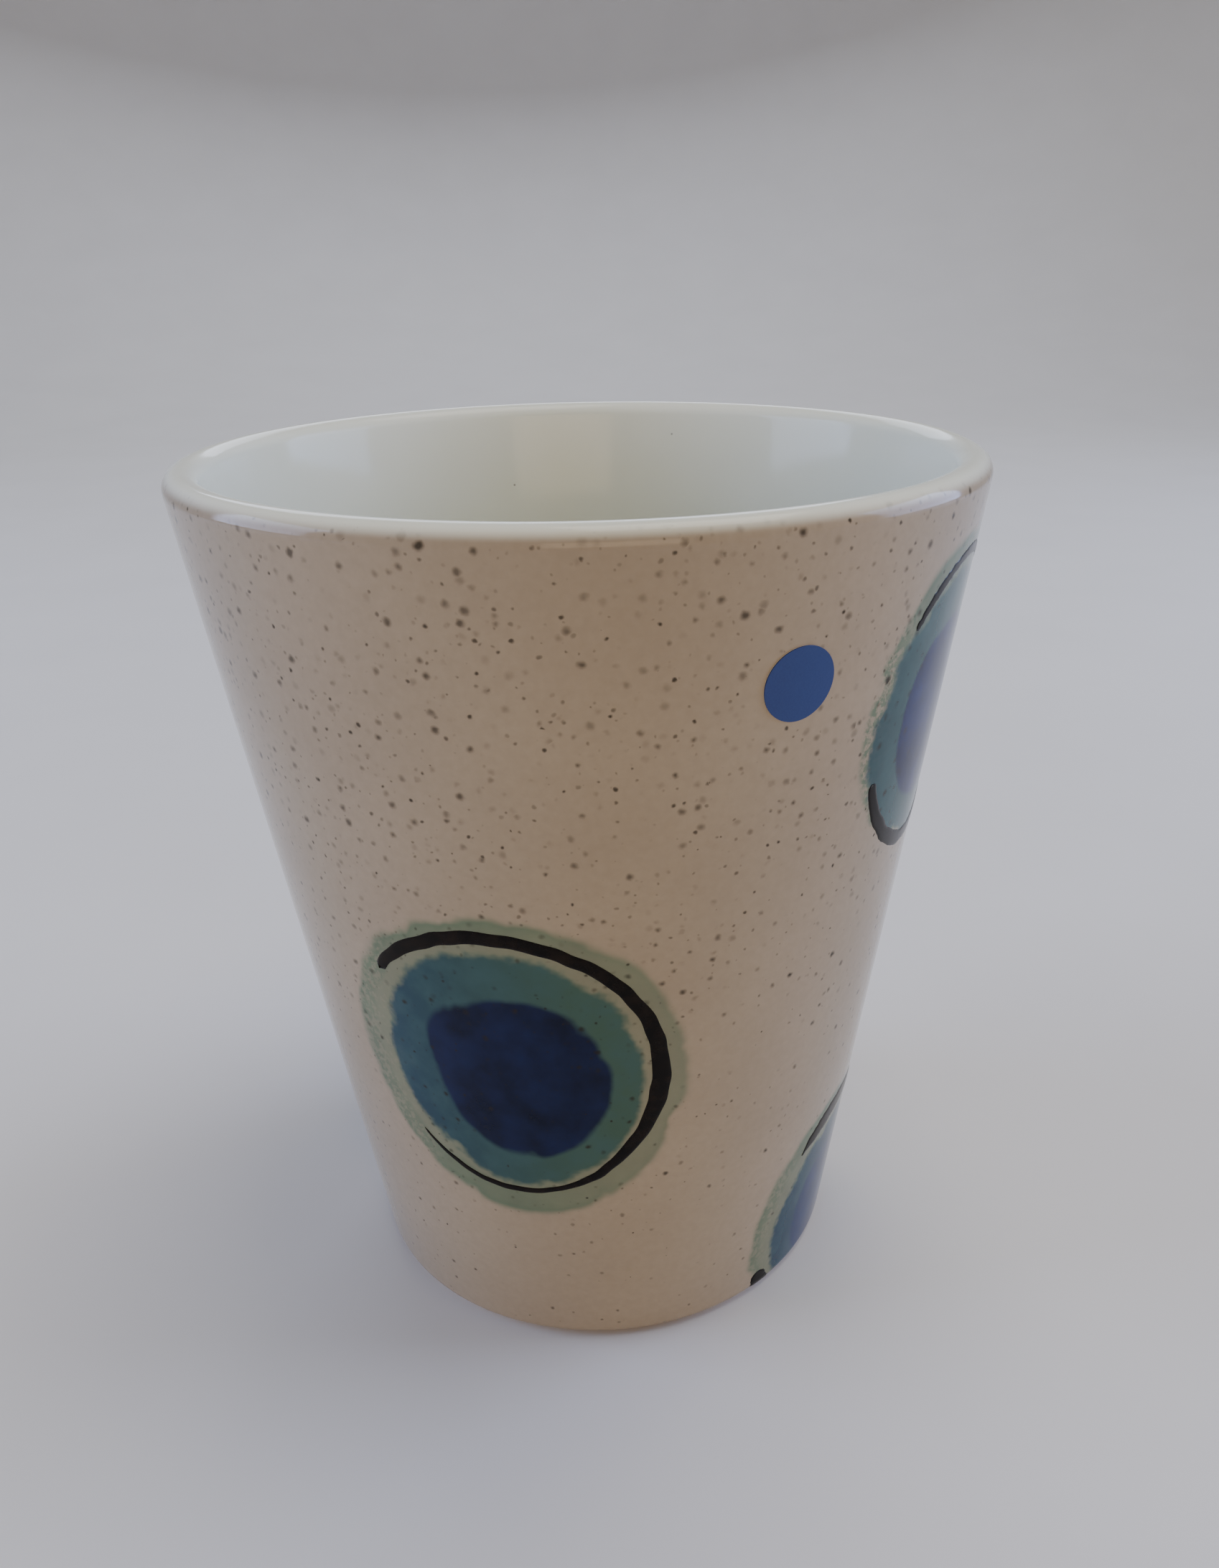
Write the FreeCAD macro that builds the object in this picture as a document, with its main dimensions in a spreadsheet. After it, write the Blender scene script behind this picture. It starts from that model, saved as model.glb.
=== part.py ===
"""Handleless stoneware mug: a thrown cone of clay, its glazes, its brushed motifs and its price dot.

The mug stands on its foot ring at the origin, with the axis of the wheel along +Z.
Every fired layer is a piece of its own.  A height or radius is written as an expression
of the sheet's cells, so changing one cell moves every layer that depends on it.
"""
import FreeCAD, Part
import math
import os
import Sketcher

SHEET = "dims"

DIMENSIONS = {
    # thrown clay, as seen with its glaze on
    "height": 107.0,
    "foot_radius": 31.5,
    "wall_lean": 8.766,
    "bore_lean": 9.3,
    "lip_radius": 2.0,
    "floor_level": 7.2,
    "floor_round": 6.0,
    "foot_round": 2.2,
    "ring_round": 0.6,
    "recess_radius": 24.0,
    "recess_depth": 1.8,
    "recess_round": 1.0,
    # glaze
    "glaze": 0.4,
    "glaze_end": 27.0,
    "under_glaze": 0.3,
    # brushed motifs: how deep the colours soak in, and half sizes of each stroke
    "soak": 0.15,
    "band_bottom": 2.4,
    "band_top": 103.0,
    "halo_across": 19.0,
    "halo_up": 21.7,
    "ring_across": 15.2,
    "ring_up": 17.6,
    "core_across": 10.1,
    "core_up": 11.9,
    "line_across": 18.2,
    "line_up": 19.6,
    "line_width": 1.9,
    "line_swell": 0.35,
    "gap_centre": -0.4,
    "gap_half": 12.3,
    "gap_across": 8.0,
    "reach": 13.0,
    # round price dot
    "dot_angle": -63.9,
    "dot_height": 90.0,
    "dot_radius": 4.0,
    "adhesive": 0.05,
    "paper": 0.12,
}

# angle about the axis and height of each motif's middle: columns of one and of two, by turns
MOTIFS = {
    "front": (-106.3, 43.75),
    "right_upper": (-28.0, 80.0),
    "right_lower": (-28.5, 8.0),
    "back": (58.0, 43.0),
    "left_upper": (140.0, 79.0),
    "left_lower": (138.0, 9.0),
}

# heights and radii of the section, as expressions of the sheet's cells
LIP_UP = "(dims.height - dims.lip_radius)"


def outside(up, depth):
    """Radius of the outer wall at a height, some way in from the glazed surface."""
    return (
        f"(dims.foot_radius + ({up}) * tan(dims.wall_lean)"
        f" - ({depth}) / cos(dims.wall_lean))"
    )


LIP_ACROSS = outside(LIP_UP, "dims.lip_radius")


def inside(up, depth):
    """Radius of the bore at a height, some way in from the glazed surface."""
    return (
        f"({LIP_ACROSS} + (({up}) - {LIP_UP}) * tan(dims.bore_lean)"
        f" - (dims.lip_radius - ({depth})) / cos(dims.bore_lean))"
    )


def on_circle(centre, radius, angle):
    across, up = centre
    return (
        f"({across} + ({radius}) * cos({angle}))",
        f"({up} + ({radius}) * sin({angle}))",
    )


def lip_outer(depth):
    """Where the outer wall runs into the rounded lip."""
    return on_circle((LIP_ACROSS, LIP_UP), f"dims.lip_radius - ({depth})", "-dims.wall_lean")


def lip_top(depth):
    return LIP_ACROSS, f"(dims.height - ({depth}))"


def lip_inner(depth):
    """Where the rounded lip runs into the bore."""
    return on_circle((LIP_ACROSS, LIP_UP), f"dims.lip_radius - ({depth})", "180 - dims.bore_lean")


def bore_corner(depth):
    """Ends of the round between the bore and the floor: on the wall, then on the floor."""
    floor = f"(dims.floor_level - ({depth}))"
    tangent = f"(dims.floor_round + ({depth})) * tan(45 - dims.bore_lean / 2)"
    up = f"({floor} + {tangent} * cos(dims.bore_lean))"
    return (inside(up, depth), up), (f"({inside(floor, depth)} - {tangent})", floor)


FOOT_TANGENT = "dims.foot_round * tan(45 - dims.wall_lean / 2)"
FOOT_CENTRE = (f"({outside('0', 'dims.glaze')} - {FOOT_TANGENT})", "dims.foot_round")


def put_dimensions(doc):
    sheet = doc.addObject("Spreadsheet::Sheet", SHEET)
    cells = dict(DIMENSIONS)
    for name, (angle, height) in MOTIFS.items():
        cells[f"{name}_angle"] = angle
        cells[f"{name}_height"] = height
    for row, (alias, value) in enumerate(cells.items(), start=1):
        sheet.set(f"A{row}", alias)
        sheet.set(f"B{row}", str(value))
        sheet.setAlias(f"B{row}", alias)
    doc.recompute()
    return sheet


def origin_feature(body, role):
    return next(part for part in body.Origin.OriginFeatures if part.Role == role)


def arc_between(start, end, radius, turn):
    """Arc from start to end, turning left (+1) or right (-1) by less than half a circle."""
    chord = end - start
    rise = math.sqrt(radius**2 - (chord.Length / 2) ** 2)
    left = FreeCAD.Vector(-chord.y, chord.x, 0).normalize()
    centre = (start + end) / 2 + left * rise * turn
    first, last = (start, end) if turn > 0 else (end, start)
    angles = [math.atan2(point.y - centre.y, point.x - centre.x) for point in (first, last)]
    circle = Part.Circle(centre, FreeCAD.Vector(0, 0, 1), radius)
    return Part.ArcOfCircle(circle, angles[0], angles[1])


def draw_section(sheet, sketch, corners):
    """Closed outline through the corners, each held by its two expressions.

    A corner is (across, up), or (across, up, radius, turn) where an arc leaves it.
    """
    places = [
        FreeCAD.Vector(sheet.evalExpression(corner[0]), sheet.evalExpression(corner[1]), 0)
        for corner in corners
    ]
    ends = []
    for index, corner in enumerate(corners):
        start = places[index]
        end = places[(index + 1) % len(places)]
        if len(corner) == 2:
            sketch.addGeometry(Part.LineSegment(start, end), False)
            ends.append((1, 2))
            continue
        radius, turn = corner[2:]
        sketch.addGeometry(arc_between(start, end, sheet.evalExpression(radius), turn), False)
        ends.append((1, 2) if turn > 0 else (2, 1))
        name = f"round_{index}"
        held = sketch.addConstraint(Sketcher.Constraint("Radius", index, sheet.evalExpression(radius)))
        sketch.renameConstraint(held, name)
        sketch.setExpression(f"Constraints.{name}", radius)
    for index, corner in enumerate(corners):
        following = (index + 1) % len(corners)
        joined = Sketcher.Constraint(
            "Coincident", index, ends[index][1], following, ends[following][0]
        )
        sketch.addConstraint(joined)
        for kind, way, size in (("DistanceX", "across", 0), ("DistanceY", "up", 1)):
            name = f"{way}_{index}"
            value = places[index][size]
            held = sketch.addConstraint(
                Sketcher.Constraint(kind, -1, 1, index, ends[index][0], value)
            )
            sketch.renameConstraint(held, name)
            sketch.setExpression(f"Constraints.{name}", corner[size])


def turned_body(doc, sheet, name, corners):
    """Body turned about the wheel's axis from half its section."""
    body = doc.addObject("PartDesign::Body", name)
    sketch = body.newObject("Sketcher::SketchObject", f"{name}_section")
    sketch.AttachmentSupport = (origin_feature(body, "XZ_Plane"), [""])
    sketch.MapMode = "FlatFace"
    draw_section(sheet, sketch, corners)
    doc.recompute()
    turned = body.newObject("PartDesign::Revolution", f"{name}_turned")
    turned.Profile = sketch
    turned.ReferenceAxis = (sketch, ["V_Axis"])
    turned.Angle = 360
    doc.recompute()
    return body


def make_clay_body(doc, sheet):
    """Thrown and turned stoneware, with a bare foot ring round a shallow recess."""
    skin = "dims.glaze"
    bore_wall, bore_floor = bore_corner(skin)
    corners = [
        ("0", "dims.recess_depth"),
        ("dims.recess_radius - dims.recess_round", "dims.recess_depth", "dims.recess_round", -1),
        ("dims.recess_radius", "dims.recess_depth - dims.recess_round"),
        ("dims.recess_radius", "dims.ring_round", "dims.ring_round", 1),
        ("dims.recess_radius + dims.ring_round", "0"),
        (FOOT_CENTRE[0], "0", "dims.foot_round", 1),
        on_circle(FOOT_CENTRE, "dims.foot_round", "-dims.wall_lean"),
        (*lip_outer(skin), "dims.lip_radius - dims.glaze", 1),
        (*lip_top(skin), "dims.lip_radius - dims.glaze", 1),
        lip_inner(skin),
        (*bore_wall, "dims.floor_round + dims.glaze", -1),
        bore_floor,
        ("0", "dims.floor_level - dims.glaze"),
    ]
    return turned_body(doc, sheet, "clay_body", corners)


def make_liner_glaze(doc, sheet):
    """Pale glaze over the floor, up the bore and over the lip to where the outer wall starts."""
    skin = "dims.glaze"
    clay_wall, clay_floor = bore_corner(skin)
    bore_wall, bore_floor = bore_corner("0")
    corners = [
        ("0", "dims.floor_level - dims.glaze"),
        (*clay_floor, "dims.floor_round + dims.glaze", 1),
        clay_wall,
        (*lip_inner(skin), "dims.lip_radius - dims.glaze", -1),
        (*lip_top(skin), "dims.lip_radius - dims.glaze", -1),
        lip_outer(skin),
        (*lip_outer("0"), "dims.lip_radius", 1),
        (*lip_top("0"), "dims.lip_radius", 1),
        lip_inner("0"),
        (*bore_wall, "dims.floor_round", -1),
        bore_floor,
        ("0", "dims.floor_level"),
    ]
    return turned_body(doc, sheet, "liner_glaze", corners)


def make_glaze_coat(doc, sheet):
    """Speckled glaze on the outer wall, before the motifs; it stops just above the foot."""
    outer_round = "dims.foot_round + dims.glaze"
    corners = [
        on_circle(FOOT_CENTRE, "dims.foot_round", "-dims.glaze_end"),
        (*on_circle(FOOT_CENTRE, outer_round, "-dims.glaze_end"), outer_round, 1),
        on_circle(FOOT_CENTRE, outer_round, "-dims.wall_lean"),
        lip_outer("0"),
        lip_outer("dims.glaze"),
        (*on_circle(FOOT_CENTRE, "dims.foot_round", "-dims.wall_lean"), "dims.foot_round", -1),
    ]
    return turned_body(doc, sheet, "glaze_coat", corners)


def make_underside_glaze(doc, sheet):
    """Thin glaze on the roof of the foot's recess, with a rounded edge."""
    reach = "(dims.recess_radius - dims.recess_round)"
    corners = [
        ("0", "dims.recess_depth - dims.under_glaze"),
        (
            f"{reach} - dims.under_glaze",
            "dims.recess_depth - dims.under_glaze",
            "dims.under_glaze",
            1,
        ),
        (reach, "dims.recess_depth"),
        ("0", "dims.recess_depth"),
    ]
    return turned_body(doc, sheet, "underside_glaze", corners)


def make_cone(doc, name, depth):
    """Solid cone inside the outer wall's surface, over the heights that can be decorated."""
    cone = doc.addObject("Part::Cone", name)
    cone.setExpression("Radius1", outside("dims.band_bottom", depth))
    cone.setExpression("Radius2", outside("dims.band_top", depth))
    cone.setExpression("Height", "dims.band_top - dims.band_bottom")
    cone.setExpression("Placement.Base.z", "dims.band_bottom")
    return cone


def combine(doc, kind, name, base, tool):
    result = doc.addObject(kind, name)
    result.Base = base
    result.Tool = tool
    return result


def make_band(doc, name, outer_depth, inner_depth):
    """Conical sheet between two depths under the outer wall's surface."""
    outer = make_cone(doc, f"{name}_outer", outer_depth)
    inner = make_cone(doc, f"{name}_inner", inner_depth)
    return combine(doc, "Part::Cut", name, outer, inner)


def wall_place(site, across, up, turn):
    """Placement square to the wall at a site, moved along the wall and turned in its plane."""
    radius = outside(f"dims.{site}_height", "0")
    angle = f"dims.{site}_angle"
    middle = f"create(<<vector>>; {radius} * cos({angle}); {radius} * sin({angle}); dims.{site}_height)"
    facing = f"create(<<rotation>>; {angle} + 90; 0; 90 + dims.wall_lean)"
    shift = f"create(<<vector>>; {across}; {up}; 0)"
    spin = f"create(<<rotation>>; {turn}; 0; 0)"
    return (
        f"create(<<placement>>; {middle}; {facing})"
        f" * create(<<placement>>; {shift}; {spin})"
    )


def make_prism(doc, name, site, half_across, half_up, shift):
    """Upright oval prism standing square through the wall at a site."""
    oval = doc.addObject("Part::Ellipse", f"{name}_oval")
    oval.setExpression("MajorRadius", half_up)
    oval.setExpression("MinorRadius", half_across)
    oval.setExpression("Placement", wall_place(site, shift, "0", "90"))
    prism = doc.addObject("Part::Extrusion", f"{name}_prism")
    prism.Base = oval
    prism.DirMode = "Normal"
    prism.Solid = True
    prism.Symmetric = True
    prism.setExpression("LengthFwd", "2 * dims.reach")
    return prism


def make_line_prism(doc, site):
    """Open oval brush line, broader on its right side, with its gap on the left."""
    outer = make_prism(doc, f"{site}_line_outer", site, "dims.line_across", "dims.line_up", "0")
    inner = make_prism(
        doc,
        f"{site}_line_inner",
        site,
        "dims.line_across - dims.line_width",
        "dims.line_up - dims.line_width",
        "-dims.line_swell",
    )
    hoop = combine(doc, "Part::Cut", f"{site}_hoop", outer, inner)
    gap = doc.addObject("Part::Box", f"{site}_gap")
    gap.setExpression("Length", "dims.line_across")
    gap.setExpression("Width", "2 * dims.gap_half")
    gap.setExpression("Height", "2 * dims.reach")
    across = "-dims.gap_across - dims.line_across"
    corner = wall_place(site, across, "dims.gap_centre - dims.gap_half", "0")
    below = "create(<<placement>>; create(<<vector>>; 0; 0; -dims.reach); create(<<rotation>>; 0; 0; 0))"
    gap.setExpression("Placement", f"{corner} * {below}")
    return combine(doc, "Part::Cut", f"{site}_line_prism", hoop, gap)


def make_motif(doc, site, band):
    """Green halo, blue-green ring, dark core and black line of one motif, side by side.

    Returns the pocket that they fill in the glaze, and the four coloured pieces.
    """
    halo = make_prism(doc, f"{site}_halo", site, "dims.halo_across", "dims.halo_up", "0")
    ring = make_prism(doc, f"{site}_ring", site, "dims.ring_across", "dims.ring_up", "0")
    core = make_prism(doc, f"{site}_core", site, "dims.core_across", "dims.core_up", "0")
    line = make_line_prism(doc, site)
    pocket = combine(doc, "Part::Common", f"{site}_pocket", halo, band)
    ring_skin = combine(doc, "Part::Common", f"{site}_ring_skin", ring, band)
    core_skin = combine(doc, "Part::Common", f"{site}_core_skin", core, band)
    line_skin = combine(doc, "Part::Common", f"{site}_line_skin", line, band)
    open_halo = combine(doc, "Part::Cut", f"{site}_open_halo", pocket, ring_skin)
    open_ring = combine(doc, "Part::Cut", f"{site}_open_ring", ring_skin, core_skin)
    pieces = {
        f"{site}_halo": combine(doc, "Part::Cut", f"{site}_halo_piece", open_halo, line_skin),
        f"{site}_ring": combine(doc, "Part::Cut", f"{site}_ring_piece", open_ring, line_skin),
        f"{site}_core": core_skin,
        f"{site}_line": line_skin,
    }
    return pocket, pieces


def make_dot_layer(doc, name, outer_depth, inner_depth):
    """One layer of the round price dot, following the wall."""
    sheet_band = make_band(doc, f"{name}_band", outer_depth, inner_depth)
    disc = make_prism(doc, f"{name}_disc", "dot", "dims.dot_radius", "dims.dot_radius", "0")
    return combine(doc, "Part::Common", f"{name}_layer", disc, sheet_band)


def make_outer_glaze(doc, coat, pockets):
    """Outer glaze with a shallow pocket where each motif's colours have soaked in."""
    joined = doc.addObject("Part::MultiFuse", "all_pockets")
    joined.Shapes = pockets
    return combine(doc, "Part::Cut", "outer_glaze_cut", coat, joined)


def solid_fault(name, part):
    """What is wrong with a sub-part's shape, or nothing."""
    if part.Shape.isNull():
        return f"{name} is null"
    if not part.Shape.isValid() or not part.Shape.Solids:
        return f"{name} is not a valid solid"
    return None


def check_and_write(doc, parts):
    faults = [
        f"{item.Name} is {state}"
        for item in doc.Objects
        for state in item.State
        if state in ("Invalid", "Error")
    ]
    faults += [fault for name, part in parts.items() if (fault := solid_fault(name, part))]
    if faults:
        raise RuntimeError("; ".join(faults))
    os.makedirs("parts", exist_ok=True)
    for name, part in parts.items():
        part.Label = name
        part.Shape.exportStep(f"parts/{name}.step")
        print(f"{name}: {part.Shape.Volume:.1f} mm3")


def main():
    doc = FreeCAD.newDocument("stoneware_mug")
    sheet = put_dimensions(doc)
    parts = {
        "clay_body": make_clay_body(doc, sheet),
        "liner_glaze": make_liner_glaze(doc, sheet),
        "underside_glaze": make_underside_glaze(doc, sheet),
    }
    band = make_band(doc, "soak_band", "0", "dims.soak")
    pockets = []
    for site in MOTIFS:
        pocket, pieces = make_motif(doc, site, band)
        pockets.append(pocket)
        parts.update(pieces)
    coat = make_glaze_coat(doc, sheet)
    parts["outer_glaze"] = make_outer_glaze(doc, coat, pockets)
    parts["dot_adhesive"] = make_dot_layer(doc, "dot_adhesive", "-dims.adhesive", "0")
    parts["price_dot"] = make_dot_layer(
        doc, "price_dot", "-dims.adhesive - dims.paper", "-dims.adhesive"
    )
    doc.recompute()
    check_and_write(doc, parts)


main()
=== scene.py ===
"""Handleless stoneware mug: its glazes, brushed motifs and price dot, built round the packed clay body.

Lengths are in metres and angles in radians unless a name says mm or degrees.
"""
import bpy
import math
import random
from mathutils import Matrix, Vector


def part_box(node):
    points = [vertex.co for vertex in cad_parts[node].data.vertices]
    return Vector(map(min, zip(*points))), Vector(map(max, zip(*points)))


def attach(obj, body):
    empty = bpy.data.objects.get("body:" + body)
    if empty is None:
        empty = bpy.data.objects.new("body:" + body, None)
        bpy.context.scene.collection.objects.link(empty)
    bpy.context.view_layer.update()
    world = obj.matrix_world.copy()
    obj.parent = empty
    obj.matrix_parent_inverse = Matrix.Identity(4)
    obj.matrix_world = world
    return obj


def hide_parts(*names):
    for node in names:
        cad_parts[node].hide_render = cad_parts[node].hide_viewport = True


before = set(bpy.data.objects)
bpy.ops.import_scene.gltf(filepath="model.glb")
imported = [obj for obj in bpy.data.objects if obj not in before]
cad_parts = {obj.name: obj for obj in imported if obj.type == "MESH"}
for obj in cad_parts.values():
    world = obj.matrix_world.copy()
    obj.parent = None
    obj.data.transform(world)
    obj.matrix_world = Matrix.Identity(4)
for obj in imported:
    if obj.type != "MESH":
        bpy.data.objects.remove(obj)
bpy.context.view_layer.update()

MM = 0.001

# the turned shape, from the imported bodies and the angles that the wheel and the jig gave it
WALL_LEAN = math.radians(8.766)
BORE_LEAN = math.radians(9.3)
GLAZE_END = math.radians(27.0)
GLAZE = 0.4 * MM
LIP_ROUND = 2.0 * MM
FLOOR_ROUND = 6.0 * MM
FLOOR_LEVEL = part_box("liner_glaze")[0].z + GLAZE
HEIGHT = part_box("liner_glaze")[1].z
RIM_REACH = min(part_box("liner_glaze")[1].x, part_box("liner_glaze")[1].y)
FOOT_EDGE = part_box("outer_glaze")[0].z
LIP_CENTRE = (RIM_REACH - LIP_ROUND, HEIGHT - LIP_ROUND)
FOOT_ROUND = 2.6 * MM
SEGMENTS = 360
WALL_ROWS = 68
FOOT_STEPS = 6
LIP_STEPS = 28
CORNER_STEPS = 14
FLOOR_ROWS = 16
# the coats are drawn a little thinner than the glaze, so their backs never touch the clay
COAT = GLAZE * 0.9
# points nearer than this are one point, and points this near a surface lie on it
SAME_POINT = MM / 1000
ON_SURFACE = GLAZE / 4
# a face looks the way of a normal if the cosine between them is more than this
FACING = 0.7

USUAL_NAVY = ("#02061A", "#182652")

# at: angle about the axis in degrees and height in mm of the motif's middle
# halo, ring, core and line: ovals in mm, as middle across, middle up, half width and half height
# corner: how far the core's corner sticks out, as a share of its size
# dry: share of the halo that a dry brush missed, and how far across in mm it is at its driest
# resist: strength of the pale strip between ring and line
# blue_to_green: from where to where across, in mm, the ring turns from blue to green
# navy: the core's deep and thin colours
# strokes: first and last angle of each brush line in degrees, and its widths in mm on the way
MOTIFS = {
    "front": {
        "at": (-106.3, 43.75),
        "halo": (0.3, 0.0, 20.6, 22.3),
        "ring": (0.4, 0.2, 15.2, 17.2),
        "core": (1.7, -0.4, 10.2, 11.8),
        "corner": 0.135,
        "dry": (0.34, -15.0),
        "resist": 0.22,
        "blue_to_green": (-13.0, 9.0),
        "navy": USUAL_NAVY,
        "line": (0.0, 0.7, 17.4, 18.6),
        "strokes": [
            (143, -138, (1.3, 1.7, 1.8, 1.7, 1.6, 1.6, 1.9, 2.3, 1.8, 1.3, 0.8, 0.9, 0.8, 0.4)),
        ],
    },
    "right_upper": {
        "at": (-28.0, 80.0),
        "halo": (0.5, 2.2, 18.4, 19.0),
        "ring": (-0.1, 0.5, 15.8, 16.2),
        "core": (0.2, 0.2, 10.2, 11.2),
        "corner": 0.06,
        "dry": (0.78, -16.0),
        "resist": 0.0,
        "blue_to_green": (-34.0, 12.0),
        "navy": ("#060D28", "#1F3168"),
        "line": (0.8, 1.0, 15.8, 17.3),
        "strokes": [
            (140, 30, (1.0, 1.4, 1.2, 1.4, 1.2, 0.8, 0.3)),
            (200, 345, (1.5, 1.9, 2.0, 1.9, 1.6, 1.3, 0.8)),
        ],
    },
    "right_lower": {
        "at": (-28.5, 8.0),
        "halo": (0.4, 0.6, 16.8, 19.3),
        "ring": (0.6, 0.0, 12.6, 14.2),
        "core": (0.8, 0.0, 8.4, 9.6),
        "corner": 0.05,
        "dry": (0.3, -13.0),
        "resist": 0.2,
        # right_lower's ring stays blue further across and its core is bluer than the other motifs';
        # that blue is partly the paint's own and partly a painted reflection of cool daylight
        "blue_to_green": (2.0, 24.0),
        "navy": ("#0A1A38", "#1D3B68"),
        "line": (1.0, 0.0, 15.5, 16.6),
        "strokes": [
            (129, 15, (0.4, 2.4, 3.1, 3.1, 2.9, 2.6, 2.3, 2.0, 1.7, 1.3, 0.9, 0.5)),
            (196, 262, (2.6, 4.0, 3.9, 2.8)),
        ],
    },
    "back": {
        "at": (58.0, 43.0),
        "halo": (0.0, 0.0, 19.3, 21.4),
        "ring": (-0.4, 0.1, 15.2, 16.8),
        "core": (1.0, 0.6, 9.8, 11.4),
        "corner": 0.09,
        "dry": (0.5, -14.5),
        "resist": 0.22,
        "blue_to_green": (-10.0, 12.0),
        "navy": USUAL_NAVY,
        "line": (-0.2, 0.4, 17.2, 18.4),
        "strokes": [
            (150, -128, (0.9, 1.4, 1.8, 2.1, 2.3, 2.0, 1.7, 1.9, 1.5, 1.0, 0.8, 0.4)),
        ],
    },
    "left_upper": {
        "at": (140.0, 79.0),
        "halo": (0.3, 0.8, 19.0, 20.6),
        "ring": (0.1, 0.2, 15.0, 16.4),
        "core": (-0.8, 0.4, 10.0, 11.0),
        "corner": 0.04,
        "dry": (0.6, -13.5),
        "resist": 0.22,
        "blue_to_green": (-15.0, 6.0),
        "navy": USUAL_NAVY,
        "line": (0.4, 0.6, 16.5, 17.8),
        "strokes": [
            (138, 5, (1.1, 1.4, 1.8, 1.7, 1.3, 0.8, 0.4)),
            (196, 340, (1.2, 1.8, 2.1, 1.9, 1.5, 1.1, 0.6)),
        ],
    },
    "left_lower": {
        "at": (138.0, 9.0),
        "halo": (0.2, 0.4, 17.0, 19.0),
        "ring": (0.2, 0.0, 13.0, 14.6),
        "core": (0.9, -0.2, 8.8, 9.8),
        "corner": 0.07,
        "dry": (0.4, -13.0),
        "resist": 0.22,
        "blue_to_green": (-8.0, 14.0),
        "navy": USUAL_NAVY,
        "line": (0.6, 0.2, 15.2, 16.4),
        "strokes": [
            (160, -20, (0.8, 1.6, 2.1, 2.3, 2.0, 1.4, 0.9)),
        ],
    },
}
PATCH_MARGIN = 1.5 * MM


# ---------------------------------------------------------------- places on the turned shape


def wall_radius(height):
    """Radius of the glazed outer wall at a height, from the round at the foot to the lip."""
    rise = LIP_CENTRE[1] - height
    straight = LIP_CENTRE[0] + LIP_ROUND / math.cos(WALL_LEAN) - rise * math.tan(WALL_LEAN)
    centre = foot_centre()
    if height >= centre[1] - FOOT_ROUND * math.sin(WALL_LEAN):
        return straight
    return centre[0] + math.sqrt(max(FOOT_ROUND**2 - (centre[1] - height) ** 2, 0.0))


def foot_centre():
    """Middle of the round between the wall and the foot, as radius and height."""
    up = FOOT_EDGE + FOOT_ROUND * math.sin(GLAZE_END)
    rise = LIP_CENTRE[1] - up
    straight = LIP_CENTRE[0] + LIP_ROUND / math.cos(WALL_LEAN) - rise * math.tan(WALL_LEAN)
    return straight - FOOT_ROUND / math.cos(WALL_LEAN), up


def arc_points(centre, radius, first, last, steps):
    """Points of a round in the section, as (radius, height), both ends included."""
    angles = [first + (last - first) * step / steps for step in range(steps + 1)]
    return [
        (centre[0] + radius * math.cos(angle), centre[1] + radius * math.sin(angle))
        for angle in angles
    ]


def line_points(start, end, steps):
    """Points between two ends of a straight stretch, both ends left out."""
    return [
        tuple(a + (b - a) * step / steps for a, b in zip(start, end))
        for step in range(1, steps)
    ]


def on_wall(site, across, up, lift=0.0):
    """Point on the outer wall, across and up from a motif's middle, lifted off the surface."""
    degrees, middle_mm = site
    middle = middle_mm * MM
    angle = math.radians(degrees) + across / wall_radius(middle)
    height = middle + up * math.cos(WALL_LEAN)
    out = Vector((math.cos(angle), math.sin(angle), 0.0))
    normal = out * math.cos(WALL_LEAN) - Vector((0, 0, math.sin(WALL_LEAN)))
    if height < foot_centre()[1]:
        lean = math.asin(min((foot_centre()[1] - height) / FOOT_ROUND, 1.0))
        normal = out * math.cos(lean) - Vector((0, 0, math.sin(lean)))
    return out * wall_radius(height) + Vector((0, 0, height)) + normal * lift


def across_and_up(site, point):
    """Inverse of on_wall: where a point of the wall lies from a motif's middle."""
    degrees, middle_mm = site
    middle = middle_mm * MM
    turn = math.atan2(point.y, point.x) - math.radians(degrees)
    turn = (turn + math.pi) % (2 * math.pi) - math.pi
    return turn * wall_radius(middle), (point.z - middle) / math.cos(WALL_LEAN)


# ---------------------------------------------------------------- modelling


def nothing_selected():
    bpy.ops.object.select_all(action="DESELECT")


def take(piece):
    """Selects one piece alone and makes it the active one."""
    nothing_selected()
    piece.select_set(True)
    bpy.context.view_layer.objects.active = piece


def open_mesh(piece):
    """Enters edit mode on one piece with the whole of it selected."""
    take(piece)
    bpy.ops.object.mode_set(mode="EDIT")
    bpy.ops.mesh.select_all(action="SELECT")


def close_mesh():
    bpy.ops.object.mode_set(mode="OBJECT")


def named(piece, name):
    piece.name = name
    piece.data.name = name
    return piece


def turned_sheet(name, profile):
    """Sheet turned about the wheel's axis from a profile drawn by extruding one point."""
    nothing_selected()
    start = Vector((profile[0][0], 0, profile[0][1]))
    bpy.ops.mesh.primitive_plane_add(size=MM, location=start)
    piece = named(bpy.context.object, name)
    bpy.ops.object.transform_apply(location=True, rotation=True, scale=True)
    bpy.ops.object.mode_set(mode="EDIT")
    bpy.ops.mesh.select_mode(type="VERT")
    bpy.ops.mesh.select_all(action="SELECT")
    bpy.ops.mesh.merge(type="CENTER")
    for here, following in zip(profile, profile[1:]):
        step = (following[0] - here[0], 0, following[1] - here[1])
        bpy.ops.mesh.extrude_region_move(TRANSFORM_OT_translate={"value": step})
    bpy.ops.mesh.select_all(action="SELECT")
    bpy.ops.mesh.spin(steps=SEGMENTS, angle=2 * math.pi, center=(0, 0, 0), axis=(0, 0, 1))
    bpy.ops.mesh.select_all(action="SELECT")
    bpy.ops.mesh.remove_doubles(threshold=SAME_POINT)
    bpy.ops.mesh.normals_make_consistent(inside=False)
    close_mesh()
    return piece


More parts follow.
